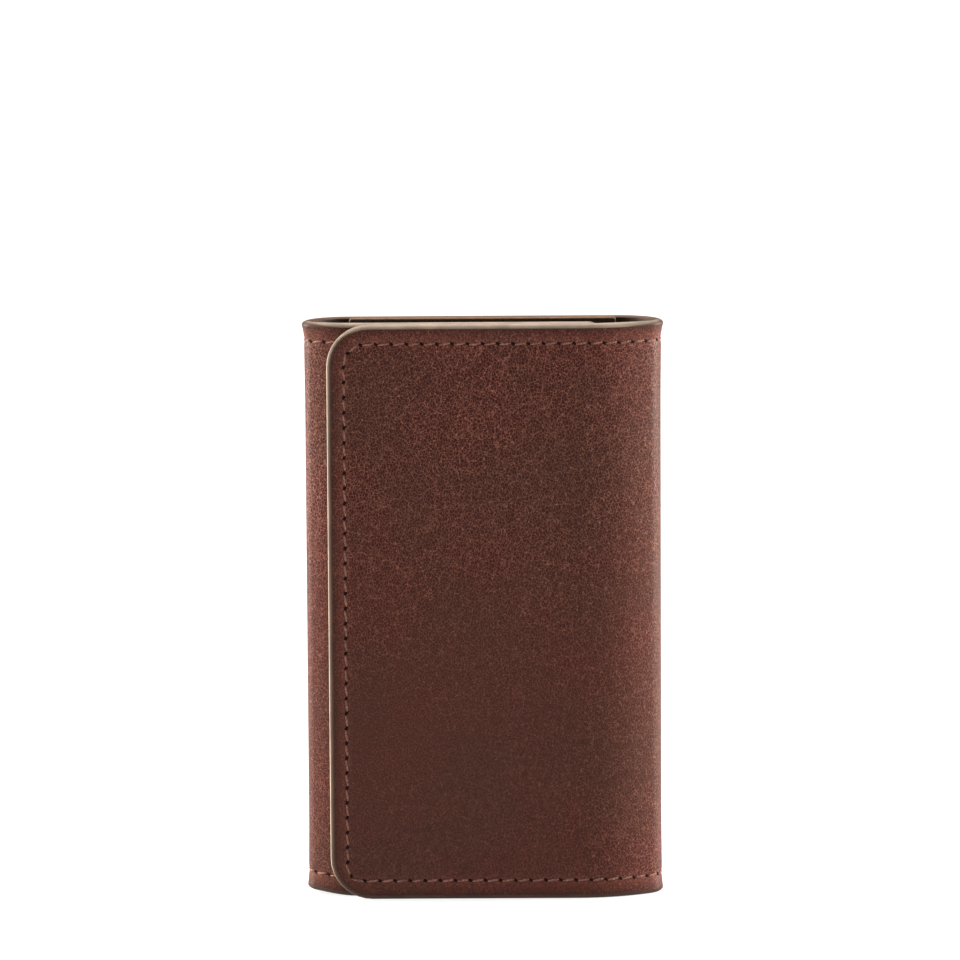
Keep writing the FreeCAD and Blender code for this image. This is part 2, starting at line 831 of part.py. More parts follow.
# The press stud. Its anchor plate and socket sit in the outer flap, the stud on the inner flap.
plate_hole = "Sizes.plate_radius + Sizes.fit_clearance"
bore(
    leather["outer_flap"],
    "PlateSinking",
    plate_hole,
    "Sizes.skive_depth + Sizes.overrun",
    ("Places.snap_x", "Places.plate_y", "Places.snap_z"),
)
bore(
    lining["outer_flap"],
    "SocketHole",
    "Sizes.socket_radius + Sizes.fit_clearance",
    "Sizes.lining_thickness + 2 * Sizes.overrun",
    ("Places.snap_x", "Places.front_y + Sizes.leather_thickness - Sizes.overrun", "Places.snap_z"),
)
plate = new_body("snap_plate", ("Places.snap_x", "Places.plate_y", "Places.snap_z"), TURNED_TO_BACK)
primitive(
    plate,
    "AdditiveCylinder",
    "Disc",
    {"Radius": "Sizes.plate_radius", "Height": "Sizes.plate_thickness"},
)
primitive(
    plate,
    "AdditiveCylinder",
    "Boss",
    {"Radius": "Sizes.boss_radius", "Height": "Sizes.plate_thickness + Sizes.socket_floor"},
)

socket = new_body("snap_socket", ("Places.snap_x", "Places.socket_y", "Places.snap_z"), TURNED_TO_BACK)
primitive(
    socket,
    "AdditiveCylinder",
    "Cup",
    {"Radius": "Sizes.socket_radius", "Height": "Places.socket_height"},
)
bore(
    socket,
    "Chamber",
    "Places.chamber_radius",
    "Places.socket_height - Sizes.socket_floor - Sizes.socket_lip",
    ("0", "0", "Sizes.socket_floor"),
    UPRIGHT,
)
bore(
    socket,
    "Mouth",
    "Places.mouth_radius",
    "Places.socket_height",
    ("0", "0", "Sizes.socket_floor"),
    UPRIGHT,
)
bore(
    socket,
    "BossHole",
    "Sizes.boss_radius + Sizes.fit_clearance",
    "Sizes.socket_floor + 2 * Sizes.overrun",
    ("0", "0", "-Sizes.overrun"),
    UPRIGHT,
)
spring = new_body("snap_spring", ("Places.snap_x", "Places.socket_y", "Places.snap_z"), TURNED_TO_BACK)
primitive(
    spring,
    "AdditiveCylinder",
    "Disc",
    {"Radius": "Places.chamber_radius - Sizes.fit_clearance", "Height": "Sizes.spring_thickness"},
    ("0", "0", "Places.spring_low"),
)
bore(
    spring,
    "Hole",
    "Places.stud_neck_radius + Sizes.fit_clearance",
    "Places.socket_height",
    ("0", "0", "0"),
    UPRIGHT,
)
primitive(
    spring,
    "SubtractiveBox",
    "Slit",
    {"Length": "Sizes.spring_slit", "Width": "Sizes.socket_radius", "Height": "Places.socket_height"},
    ("-Sizes.spring_slit / 2", "0", "0"),
)

post_hole = "Places.post_radius + Sizes.fit_clearance"
for layer in (leather, lining):
    bore(
        layer["inner_flap"],
        "PostHole",
        post_hole,
        "Places.shell + 2 * Sizes.overrun",
        ("Places.snap_x", "Places.inner_front_y - Sizes.overrun", "Places.snap_z"),
    )
bore(
    leather["inner_flap"],
    "FlangeSinking",
    "Sizes.stud_flange_radius + Sizes.fit_clearance",
    "Sizes.stud_flange_thickness + Sizes.overrun",
    ("Places.snap_x", "Places.inner_front_y - Sizes.overrun", "Places.snap_z"),
)
stud = new_body("snap_stud", ("Places.snap_x", "Places.inner_front_y", "Places.snap_z"), TURNED_TO_FRONT)
primitive(
    stud,
    "AdditiveCylinder",
    "Flange",
    {"Radius": "Sizes.stud_flange_radius", "Height": "Sizes.stud_flange_thickness"},
    ("0", "0", "-Sizes.stud_flange_thickness"),
)
primitive(
    stud,
    "AdditiveCylinder",
    "Neck",
    {"Radius": "Places.stud_neck_radius", "Height": "Places.stud_neck_height"},
)
primitive(
    stud,
    "AdditiveCylinder",
    "Head",
    {"Radius": "Places.stud_radius", "Height": "Places.stud_height - Places.stud_neck_height"},
    ("0", "0", "Places.stud_neck_height"),
)
stud_top = value("Places.stud_height")


def head_rim(edge):
    box = edge.BoundBox
    wide = math.isclose(box.XLength, 2 * value("Places.stud_radius"), abs_tol=value("Sizes.fit_clearance"))
    return wide and math.isclose(box.ZMax, stud_top, abs_tol=value("Sizes.fit_clearance"))


round_edges(stud, "(Places.stud_height - Places.stud_neck_height) / 2", head_rim)
bore(
    stud,
    "PostBore",
    post_hole,
    "Sizes.stud_bore_depth + Sizes.overrun",
    ("0", "0", "Sizes.stud_bore_depth - Sizes.stud_flange_thickness"),
    TURNED_TO_FRONT * TURNED_TO_FRONT,
)
post = new_body("snap_post", ("Places.snap_x", "Places.flap_inside_y", "Places.snap_z"), TURNED_TO_BACK)
primitive(
    post,
    "AdditiveCylinder",
    "Shank",
    {
        "Radius": "Places.post_radius",
        "Height": "Places.shell + Sizes.stud_bore_depth - Sizes.stud_flange_thickness - Sizes.fit_clearance",
    },
    ("0", "0", "Sizes.fit_clearance + Sizes.stud_flange_thickness - Places.shell - Sizes.stud_bore_depth"),
)
post_cap = primitive(
    post,
    "AdditiveEllipsoid",
    "Cap",
    {"Radius1": "Sizes.post_cap_height", "Radius2": "Sizes.post_cap_radius"},
)
post_cap.Angle1 = 0

doc.recompute()
pieces = list(leather.values()) + list(lining.values()) + threads
pieces += [panel, rail, rail_rivets, rail_washers] + hooks
pieces += [plate, socket, spring, stud, post]
for item in doc.Objects:
    if "Invalid" in item.State or "Error" in item.State:
        raise ValueError(f"{item.Label} did not recompute: {item.State}")
os.makedirs("parts", exist_ok=True)
for piece in pieces:
    if piece.Shape.isNull() or not piece.Shape.isValid():
        raise ValueError(f"{piece.Label} has no valid shape")
    piece.Shape.exportStep(f"parts/{piece.Label}.step")
print(f"{len(pieces)} pieces written")
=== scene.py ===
import bmesh
import bpy
import math
from mathutils import Matrix, Quaternion, Vector, noise
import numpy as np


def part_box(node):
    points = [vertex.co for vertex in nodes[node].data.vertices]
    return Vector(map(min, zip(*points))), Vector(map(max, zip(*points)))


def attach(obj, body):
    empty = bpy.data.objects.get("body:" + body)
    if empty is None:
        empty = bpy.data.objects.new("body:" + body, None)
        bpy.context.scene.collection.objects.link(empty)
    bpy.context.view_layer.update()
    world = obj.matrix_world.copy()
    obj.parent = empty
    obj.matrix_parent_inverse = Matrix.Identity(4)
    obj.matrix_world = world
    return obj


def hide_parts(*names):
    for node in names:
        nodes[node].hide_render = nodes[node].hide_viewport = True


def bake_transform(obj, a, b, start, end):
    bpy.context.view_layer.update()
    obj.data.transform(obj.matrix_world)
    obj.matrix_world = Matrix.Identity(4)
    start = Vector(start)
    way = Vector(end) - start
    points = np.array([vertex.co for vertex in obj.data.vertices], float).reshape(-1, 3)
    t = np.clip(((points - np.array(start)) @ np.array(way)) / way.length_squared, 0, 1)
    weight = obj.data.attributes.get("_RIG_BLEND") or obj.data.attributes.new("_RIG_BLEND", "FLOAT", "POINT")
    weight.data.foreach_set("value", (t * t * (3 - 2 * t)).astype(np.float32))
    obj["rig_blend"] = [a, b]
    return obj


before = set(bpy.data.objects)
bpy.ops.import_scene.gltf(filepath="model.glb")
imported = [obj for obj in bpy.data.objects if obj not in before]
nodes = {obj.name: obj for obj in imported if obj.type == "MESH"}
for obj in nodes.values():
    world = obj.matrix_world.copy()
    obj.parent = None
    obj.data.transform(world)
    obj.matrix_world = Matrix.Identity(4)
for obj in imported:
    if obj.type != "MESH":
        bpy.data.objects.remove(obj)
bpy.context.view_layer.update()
mm = 0.001
print("frame loaded,", len(nodes), "nodes")


def lowCorner(node):
    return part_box(node)[0]


def highCorner(node):
    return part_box(node)[1]


# the case as packed: outer faces, free edges and layers
case = {
    "height": highCorner("back_leather").z,
    "backY": highCorner("back_leather").y,
    "frontY": lowCorner("outer_flap_leather").y,
    "innerY": lowCorner("inner_flap_leather").y,
    "rightX": highCorner("right_spine_leather").x,
    "leftX": lowCorner("left_spine_leather").x,
    "outerEdgeX": lowCorner("outer_flap_leather").x,
    "innerEdgeX": highCorner("inner_flap_leather").x,
    "leather": highCorner("back_leather").y - highCorner("back_lining").y,
    "shell": highCorner("back_leather").y - highCorner("key_panel").y,
    "rightFold": 4.6 * mm,  # outside radii of the front folds
    "leftFold": 2.8 * mm,
    "foldAngle": math.radians(55),
    "outerCorner": 7.6 * mm,
    "innerCorner": 2.0 * mm,
    "footLift": 0.8 * mm,  # the left spine stands clear of the floor
}
snapSpot = sum(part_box("snap_stud"), Vector()) / 2


# tracks: lines of straight runs and bends, used for the shell seen from above and for the seams
def layTrack(start, heading, outward, runs):
    # outward is 1 where the outer side is on the left of the walk; a run is (length, 0) or (radius, angle)
    laid = []
    point = Vector(start)
    reach = 0.0
    for size, angle in runs:
        length = size * angle if angle else size
        laid.append((reach, reach + length, point.copy(), heading, size if angle else 0.0))
        side = Vector((-math.sin(heading), math.cos(heading))) * outward
        if angle:
            centre = point - side * size
            heading -= outward * angle
            side = Vector((-math.sin(heading), math.cos(heading))) * outward
            point = centre + side * size
        else:
            point = point + Vector((math.cos(heading), math.sin(heading))) * length
        reach += length
    return {"runs": laid, "outward": outward, "length": reach}


def walkTrack(track, reach):
    # the point there and the direction that faces outward
    run = next((r for r in track["runs"] if reach <= r[1]), track["runs"][-1])
    first, _, point, heading, radius = run
    outward = track["outward"]
    side = Vector((-math.sin(heading), math.cos(heading))) * outward
    step = reach - first
    if radius:
        centre = point - side * radius
        heading -= outward * step / radius
        side = Vector((-math.sin(heading), math.cos(heading))) * outward
        return centre + side * radius, side
    return point + Vector((math.cos(heading), math.sin(heading))) * step, side


def bowRadius(faceY, fold):
    lift = math.sin(case["foldAngle"])
    return (-faceY - fold * lift) / (1 - lift)


def flapTrack(startX, heading, outward, faceY, edgeX, fold):
    bow = bowRadius(faceY, fold)
    rest = math.pi / 2 - case["foldAngle"]
    bend = [(fold, case["foldAngle"]), (bow, rest)]
    tangent = layTrack((startX, 0), heading, outward, bend)
    flatStart = walkTrack(tangent, tangent["length"])[0].x
    return layTrack((startX, 0), heading, outward, bend + [(abs(edgeX - flatStart), 0)])


# materials
def fromScreen(red, green, blue):
    shares = [c / 255 for c in (red, green, blue)]
    lit = [c / 12.92 if c <= 0.04045 else ((c + 0.055) / 1.055) ** 2.4 for c in shares]
    return (*lit, 1.0)


def startMaterial(name):
    material = bpy.data.materials.new(name)
    material.use_nodes = True
    tree = material.node_tree
    return material, tree, tree.nodes["Principled BSDF"]


def addNode(tree, kind, sockets=None, **settings):
    node = tree.nodes.new("ShaderNode" + kind)
    for label, value in settings.items():
        setattr(node, label, value)
    for label, value in (sockets or {}).items():
        node.inputs[label].default_value = value
    return node


def join(tree, source, output, target, socket):
    tree.links.new(source.outputs[output], target.inputs[socket])


def addRamp(tree, source, output, stops):
    ramp = addNode(tree, "ValToRGB")
    points = ramp.color_ramp.elements
    while len(points) < len(stops):
        points.new(1.0)
    for point, (place, colour) in zip(points, stops):
        point.position = place
        point.color = colour
    join(tree, source, output, ramp, "Fac")
    return ramp


def grey(level):
    return (level, level, level, 1.0)


def addGreys(tree, source, output, places, levels):
    return addRamp(tree, source, output, [(place, grey(level)) for place, level in zip(places, levels)])


def mixColours(tree, kind, amount, first, second):
    # each of the last three is a value or a (node, output) pair
    mix = addNode(tree, "Mix", data_type="RGBA", blend_type=kind)
    for socket, given in ((0, amount), (6, first), (7, second)):
        if isinstance(given, tuple) and isinstance(given[0], bpy.types.Node):
            tree.links.new(given[0].outputs[given[1]], mix.inputs[socket])
        else:
            mix.inputs[socket].default_value = given
    return mix


shellLook = {
    "plain": fromScreen(77, 42, 34),  # where no grain shows
    "pore": fromScreen(50, 11, 7),
    "body": fromScreen(62, 26, 19),
    # the web's pale grey-pink is partly painted highlight, standing for the sheen on the raised ridges of
    # the grain
    "web": fromScreen(150, 101, 86),
    "cool": fromScreen(244, 247, 240),  # multiplies the browner patches
    "warm": fromScreen(255, 240, 237),  # multiplies the redder patches
    "patchScale": 55.0,  # patches about 18 mm across
    "poreScale": 1900.0,  # pores about 0.5 mm apart
    "poreShift": 1.0 * mm,
    "fibreScale": 3600.0,
    "nap": (0.55, 1.46),  # multiplies the fine fibres
    "creaseScale": 420.0,  # creases about 2.4 mm apart
    "creaseShow": 0.3,
    "height": 0.03 * mm,
    "plainLow": 0.25,  # how much of the grain shows low on the front
    "plainSpan": (0.3, 0.7),  # shares of the height between which the grain comes up
    "sideSpan": (4 * mm, 28 * mm),  # it comes up towards the right side too
    "sideShow": 0.75,
    "depthSpan": (-6.5 * mm, -4 * mm),  # and away from the front
    "depthShow": 0.6,
    # the margin tones are lighter along the seam as painted light on the tilted margin, and darker at the
    # edge partly as painted shade and partly as a burnished edge
    "marginTones": (1.0, 1.42, 0.78),  # the field, along the seam, at the painted edge
    "marginShow": 0.5,
    "roughness": (0.42, 0.56),
    "specular": 0.12,
}
# the lining's dark tones are partly painted shade, darkened to stand for the deep shadow inside the case
liningLook = {
    **shellLook,
    "plain": fromScreen(56, 41, 34),
    "pore": fromScreen(34, 24, 20),
    "body": fromScreen(56, 41, 34),
    "web": fromScreen(74, 56, 47),
    "cool": fromScreen(220, 214, 210),
    "warm": fromScreen(255, 250, 246),
    "patchScale": 45.0,
    "poreScale": 2400.0,
    "poreShift": 0.4 * mm,
    "nap": (0.8, 1.22),
    "creaseScale": 300.0,
    "creaseShow": 0.1,
    "height": 0.02 * mm,
    "plainLow": 1.0,  # its grain shows alike all over
    "marginTones": (1.0, 1.0, 0.9),
    "marginShow": 1.0,
    "roughness": (0.6, 0.74),
    "specular": 0.22,
}
creaseLook = dict(shellLook, plain=fromScreen(112, 58, 52), body=fromScreen(104, 50, 45))
# what all the leathers share; spans and stops are places on a texture's own scale
grain = {
    "patchNoise": {"Detail": 3.0, "Roughness": 0.5},
    "fibreNoise": {"Detail": 2.0, "Roughness": 0.6},
    "pushNoise": {"Detail": 5.0, "Roughness": 0.6},
    "pushShare": 0.25,  # the pores are pulled about at this share of their own scale
    "lean": (0.0, math.radians(25), 0.0),  # they lie aslant and are drawn out
    "draw": (1.15, 1.0, 0.8),
    "netStops": (0.0, 0.07, 0.34),  # web, body, pore
    "lineEnd": 0.06,
    "wornSpan": (0.36, 0.6),
    "wornShow": 0.7,  # how much of the grain shows in worn patches
    "brokenShow": 0.45,  # and between the fibres
    "pressSpan": (0.1, 0.4),
    "tintSpan": (0.38, 0.62),
    "napSpan": (0.3, 0.7),
    "marginStops": (0.05, 0.4, 0.8),
    "roughSpan": (0.0, 0.3),
    "bump": 0.6,
}


def addSpan(tree, source, output, span, low, high):
    node = addNode(tree, "MapRange", {"To Min": low, "To Max": high})
    node.inputs["From Min"].default_value, node.inputs["From Max"].default_value = span
    join(tree, source, output, node, "Value")
    return node


def leatherMaterial(name, look):
    material, tree, shader = startMaterial(name)
    spot = addNode(tree, "TexCoord")
    margin = addNode(tree, "Attribute", attribute_name="margin")  # 0 in the field, 1 at the edge
    pushScale = look["poreScale"] * grain["pushShare"]
    patch = addNode(tree, "TexNoise", {"Scale": look["patchScale"], **grain["patchNoise"]})
    fibre = addNode(tree, "TexNoise", {"Scale": look["fibreScale"], **grain["fibreNoise"]})
    push = addNode(tree, "TexNoise", {"Scale": pushScale, **grain["pushNoise"]})
    bend = addNode(tree, "VectorMath", operation="SCALE")
    bend.inputs["Scale"].default_value = look["poreShift"]
    moved = addNode(tree, "VectorMath", operation="ADD")
    lean = addNode(tree, "Mapping", {"Rotation": grain["lean"], "Scale": grain["draw"]})
    pore = addNode(tree, "TexVoronoi", {"Scale": look["poreScale"]}, feature="DISTANCE_TO_EDGE")
    crease = addNode(tree, "TexVoronoi", {"Scale": look["creaseScale"]}, feature="DISTANCE_TO_EDGE")
    for texture in (patch, push, fibre):
        join(tree, spot, "Object", texture, "Vector")
    join(tree, push, "Color", bend, 0)  # pulls the pores out of line
    join(tree, spot, "Object", moved, 0)
    join(tree, bend, "Vector", moved, 1)
    join(tree, moved, "Vector", lean, "Vector")
    for texture in (pore, crease):
        join(tree, lean, "Vector", texture, "Vector")
    netColours = [look[layer] for layer in ("web", "body", "pore")]
    net = addRamp(tree, pore, "Distance", list(zip(grain["netStops"], netColours)))
    # how much of the grain shows at a place
    place = addNode(tree, "SeparateXYZ")
    join(tree, spot, "Object", place, 0)
    span = [case["height"] * share for share in look["plainSpan"]]
    lift = addSpan(tree, place, "Z", span, look["plainLow"], 1.0)
    aside = addSpan(tree, place, "X", look["sideSpan"], 0.0, look["sideShow"])
    behind = addSpan(tree, place, "Y", look["depthSpan"], 0.0, look["depthShow"])
    most = lift
    for share in (aside, behind):
        more = addNode(tree, "Math", operation="MAXIMUM")
        join(tree, most, 0, more, 0)
        join(tree, share, "Result", more, 1)
        most = more
    worn = addGreys(tree, patch, "Fac", grain["wornSpan"], (grain["wornShow"], 1.0))
    broken = addGreys(tree, fibre, "Fac", grain["wornSpan"], (grain["brokenShow"], 1.0))
    pressed = addGreys(tree, margin, "Fac", grain["pressSpan"], (1.0, look["marginShow"]))
    shown = mixColours(tree, "MULTIPLY", 1.0, (most, 0), (worn, "Color"))
    shown = mixColours(tree, "MULTIPLY", 1.0, (shown, 2), (broken, "Color"))
    shown = mixColours(tree, "MULTIPLY", 1.0, (shown, 2), (pressed, "Color"))
    grained = mixColours(tree, "MIX", (shown, 2), look["plain"], (net, "Color"))
    line = addGreys(tree, crease, "Distance", (0.0, grain["lineEnd"]), (look["creaseShow"], 0.0))
    lines = mixColours(tree, "MULTIPLY", 1.0, (line, "Color"), (shown, 2))
    creased = mixColours(tree, "MIX", (lines, 2), (grained, 2), look["web"])
    tint = addRamp(tree, patch, "Fac", list(zip(grain["tintSpan"], (look["cool"], look["warm"]))))
    toned = mixColours(tree, "MULTIPLY", 1.0, (creased, 2), (tint, "Color"))
    nap = addGreys(tree, fibre, "Fac", grain["napSpan"], look["nap"])
    toned = mixColours(tree, "MULTIPLY", 1.0, (toned, 2), (nap, "Color"))
    marginTone = addGreys(tree, margin, "Fac", grain["marginStops"], look["marginTones"])
    faded = mixColours(tree, "MULTIPLY", 1.0, (toned, 2), (marginTone, "Color"))
    join(tree, faded, 2, shader, "Base Color")
    rough = addSpan(tree, pore, "Distance", grain["roughSpan"], *look["roughness"])
    join(tree, rough, "Result", shader, "Roughness")
    bump = addNode(tree, "Bump", {"Strength": grain["bump"], "Distance": look["height"]}, invert=True)
    join(tree, pore, "Distance", bump, "Height")
    join(tree, bump, "Normal", shader, "Normal")
    shader.inputs["Specular IOR Level"].default_value = look["specular"]
    return material


darkTone = 0.35  # the tone at which the paint is dark
# edge paint tones: the foot is painted shadow where the edge meets the floor, the pale a painted highlight
# on the rim's outer rounding, the dark the paint's own tone
edgeLook = {
    "foot": fromScreen(28, 18, 14),
    "dark": fromScreen(70, 49, 38),
    "pale": fromScreen(190, 170, 150),
    "unevenScale": 300.0,
    "roughness": 0.5,
    "specular": 0.14,
}
# a browner, duller copy of the same edge paint for the back and the left spine: painted light for how these
# edges are lit and reflect the leather; its foot is painted shadow and its pale a painted highlight
backEdgeLook = {
    "foot": fromScreen(28, 18, 14),
    "dark": fromScreen(70, 48, 36),
    "pale": fromScreen(104, 77, 58),
    "unevenScale": 300.0,
    "roughness": 0.6,
    "specular": 0.15,
}
panelTone = fromScreen(104, 77, 58)
panelEdgeLook = {
    "foot": panelTone,  # a bare cut edge of one tone
    "dark": panelTone,
    "pale": panelTone,
    "unevenScale": 700.0,
    "roughness": 0.7,
    "specular": 0.12,
}
coat = {  # what all the edges share
    "detail": 3.0,
    "patchSpan": (0.35, 0.65),
    "patchTone": 0.74,  # multiplies the duller patches
    "bump": 0.25,
    "height": 0.04 * mm,
}


def edgePaint(name, look):
    material, tree, shader = startMaterial(name)
    spot = addNode(tree, "TexCoord")
    tone = addNode(tree, "Attribute", attribute_name="tone")  # 0 in the painted shadow at the foot, 1 at the full painted highlight
    uneven = addNode(tree, "TexNoise", {"Scale": look["unevenScale"], "Detail": coat["detail"]})
    join(tree, spot, "Object", uneven, "Vector")
    stops = [(0.0, look["foot"]), (darkTone, look["dark"]), (1.0, look["pale"])]
    laid = addRamp(tree, tone, "Fac", stops)
    patches = addGreys(tree, uneven, "Fac", coat["patchSpan"], (coat["patchTone"], 1.0))
    mottled = mixColours(tree, "MULTIPLY", 1.0, (laid, "Color"), (patches, "Color"))
    join(tree, mottled, 2, shader, "Base Color")
    bump = addNode(tree, "Bump", {"Strength": coat["bump"], "Distance": coat["height"]})
    join(tree, uneven, "Fac", bump, "Height")
    join(tree, bump, "Normal", shader, "Normal")
    shader.inputs["Roughness"].default_value = look["roughness"]
    shader.inputs["Specular IOR Level"].default_value = look["specular"]
    return material


threadLook = {
    "shade": fromScreen(92, 60, 51),
    "light": fromScreen(152, 110, 97),
    "twistScale": 2600.0,
    "twistDetail": 2.0,
    "twistSpan": (0.35, 0.65),
    "bump": 0.5,
    "height": 0.05 * mm,
    "roughness": 0.65,
    "specular": 0.15,
}


def threadMaterial(name, look):
    material, tree, shader = startMaterial(name)
    spot = addNode(tree, "TexCoord")
    twist = addNode(tree, "TexNoise", {"Scale": look["twistScale"], "Detail": look["twistDetail"]})
    join(tree, spot, "Object", twist, "Vector")
    tone = addRamp(tree, twist, "Fac", list(zip(look["twistSpan"], (look["shade"], look["light"]))))
    join(tree, tone, "Color", shader, "Base Color")
    bump = addNode(tree, "Bump", {"Strength": look["bump"], "Distance": look["height"]})
    join(tree, twist, "Fac", bump, "Height")
    join(tree, bump, "Normal", shader, "Normal")
    shader.inputs["Roughness"].default_value = look["roughness"]
    shader.inputs["Specular IOR Level"].default_value = look["specular"]
    return material


# the needle holes' near-black is painted shade: flat dark beads stand for the shadow inside each hole,
# speckled with a lighter shade
holeLook = {
    "deep": fromScreen(14, 7, 5),
    "lighterShade": fromScreen(36, 20, 16),
    "speckleScale": 1500.0,
    "speckleSpan": (0.3, 0.8),
    "roughness": 0.9,
    "specular": 0.1,
}


def needleHoleMaterial(name, look):
    material, tree, shader = startMaterial(name)
    spot = addNode(tree, "TexCoord")
    speckle = addNode(tree, "TexNoise", {"Scale": look["speckleScale"]})
    join(tree, spot, "Object", speckle, "Vector")
    tone = addRamp(tree, speckle, "Fac", list(zip(look["speckleSpan"], (look["deep"], look["lighterShade"]))))
    join(tree, tone, "Color", shader, "Base Color")
    shader.inputs["Roughness"].default_value = look["roughness"]
    shader.inputs["Specular IOR Level"].default_value = look["specular"]
    return material


brassLook = {
    "pale": fromScreen(214, 178, 112),
    "dull": fromScreen(186, 146, 84),
    "roughness": 0.24,
}
steelLook = {
    "pale": fromScreen(200, 200, 202),
    "dull": fromScreen(160, 160, 164),
    "roughness": 0.3,
}
finish = {  # what both metals share
    "haze": {"Scale": 160.0, "Detail": 6.0, "Roughness": 0.6},
    "hazeSpan": (0.3, 0.6),
    "scratch": {"Scale": 1.0, "Detail": 2.0},
    "scratchDraw": (300.0, 900.0, 6000.0),  # scratches a few millimetres long, side by side
    "wear": (0.7, 1.5),  # multiplies the roughness
    "bump": 0.12,
    "height": 0.01 * mm,
}


def metalMaterial(name, look):
    material, tree, shader = startMaterial(name)
    spot = addNode(tree, "TexCoord")
    haze = addNode(tree, "TexNoise", finish["haze"])
    scratch = addNode(tree, "TexNoise", finish["scratch"])
    draw = addNode(tree, "Mapping", {"Scale": finish["scratchDraw"]})
    join(tree, spot, "Object", haze, "Vector")
    join(tree, spot, "Object", draw, "Vector")
    join(tree, draw, "Vector", scratch, "Vector")
    tone = addRamp(tree, haze, "Fac", list(zip(finish["hazeSpan"], (look["dull"], look["pale"]))))
    join(tree, tone, "Color", shader, "Base Color")
    worn = addSpan(tree, haze, "Fac", (0.0, 1.0), *[look["roughness"] * part for part in finish["wear"]])
    join(tree, worn, "Result", shader, "Roughness")
    bump = addNode(tree, "Bump", {"Strength": finish["bump"], "Distance": finish["height"]})
    join(tree, scratch, "Fac", bump, "Height")
    join(tree, bump, "Normal", shader, "Normal")
    shader.inputs["Metallic"].default_value = 1.0
    return material


shellLeather = leatherMaterial("shellLeather", shellLook)
creaseLeather = leatherMaterial("creaseLeather", creaseLook)
liningLeather = leatherMaterial("liningLeather", liningLook)
paintedEdge = edgePaint("paintedEdge", edgeLook)
backEdge = edgePaint("backEdge", backEdgeLook)
rawEdge = edgePaint("rawEdge", panelEdgeLook)
seamThread = threadMaterial("seamThread", threadLook)
needleHole = needleHoleMaterial("needleHole", holeLook)
brass = metalMaterial("brassHardware", brassLook)
steel = metalMaterial("plainSteel", steelLook)
print("materials made")


# the four pieces that the shell is cut into
bendX = case["rightX"] - case["backY"]
down = -math.pi / 2
panels = {
    "back": {
        "track": layTrack(
            (-bendX, case["backY"]), 0, 1, [(2 * bendX, 0), (case["backY"], math.pi / 2)]
        ),
        "bodies": ("back", "right_spine"),
        "bend": (2 * bendX, 2 * bendX + case["backY"] * math.pi / 2),  # where the blend runs
        "corner": 0.0,
        "seamCorners": (0.0, 0.0),
        "spineAt": 1.0,  # the end of the track that is the spine's middle
        "footLift": 0.0,
        "paint": backEdge,
        "nodes": ("back", "right_spine"),
    },
    "outerFlap": {
        "track": flapTrack(
            case["rightX"], down, 1, case["frontY"], case["outerEdgeX"], case["rightFold"]
        ),
        "bodies": ("right_spine", "outer_flap"),
        "bend": (0.0, case["rightFold"] * case["foldAngle"]),
        "corner": case["outerCorner"],
        "seamCorners": (2.6 * mm, 4.0 * mm),  # at the foot and at the top
        "spineAt": 0.0,
        "footLift": 0.0,
        "paint": paintedEdge,
        "nodes": ("outer_flap",),
    },
    "leftSpine": {
        "track": layTrack((-bendX, case["backY"]), math.pi, -1, [(case["backY"], math.pi / 2)]),
        "bodies": ("back", "left_spine"),
        "bend": (0.0, case["backY"] * math.pi / 2),
        "corner": 0.0,
        "seamCorners": (0.0, 0.0),
        "spineAt": 1.0,
        "footLift": case["footLift"],
        "paint": backEdge,
        "nodes": ("left_spine",),
    },
    "innerFlap": {
        "track": flapTrack(
            case["leftX"], down, -1, case["innerY"], case["innerEdgeX"], case["leftFold"]
        ),
        "bodies": ("left_spine", "inner_flap"),
        "bend": (0.0, case["leftFold"] * case["foldAngle"]),
        "corner": case["innerCorner"],
        "seamCorners": (1.5 * mm, 1.5 * mm),
        "spineAt": 0.0,
        "footLift": case["footLift"],
        "paint": paintedEdge,
        "nodes": ("inner_flap",),
    },
}


# the shell
shape = {
    "edgeLap": 0.85 * mm,  # how far the paint reaches over the outer and inner faces
    "insideLap": 0.4 * mm,
    "edgeProud": 0.03 * mm,
    "edgeSteps": 14,
    "overrun": 12.0 * mm,
    "bendStep": math.radians(4),
    "flatStep": 3.5 * mm,
    "heightStep": 3.5 * mm,
    "snapReach": 6.0 * mm,  # finer cuts round the press stud
    "snapStep": 0.6 * mm,
    "snapRim": 4.2 * mm,
    "snapDent": 0.2 * mm,
    # rings round the blank: how far in from the edge, and how deep the face sinks there
    "rings": (
        (1.4 * mm, 0.0),
        (2.45 * mm, 0.02 * mm),
        (2.9 * mm, 0.12 * mm),
        (3.3 * mm, 0.12 * mm),
        (3.8 * mm, 0.02 * mm),
        (4.5 * mm, 0.0),
    ),
    "tightCorner": 0.15 * mm,
    "cornerSteps": 9,
    "wave": 0.16 * mm,
    "waveScale": 34.0,
    "spineReach": 11.0 * mm,
    "flareTop": 0.45 * mm,  # the ends of the spines open outwards past the seam
    "flareFoot": 0.2 * mm,
    "flareReach": 2.6 * mm,
    "waist": 0.12 * mm,
    "waistReach": 16.0 * mm,
    "liftReach": 30.0 * mm,
    "marginReach": 4.5 * mm,
    "weld": 0.001 * mm,
    "cutSlack": 0.0001 * mm,
    "crispAngle": math.radians(42),
}
seam = {
    "inset": 3.5 * mm,  # along the top and the foot
    "edgeInset": 3.1 * mm,  # along the free edges
    "pitch": 2.75 * mm,
    "length": 2.25 * mm,
    "width": 0.42 * mm,
    "height": 0.4 * mm,
    "slant": math.radians(-9),
    "sink": 0.1 * mm,
    "holeLength": 0.95 * mm,
    "holeWidth": 0.56 * mm,
    "holeHeight": 0.1 * mm,
    "holeTurn": math.radians(30),
    "aroundSteps": 8,
    "alongSteps": 6,
}


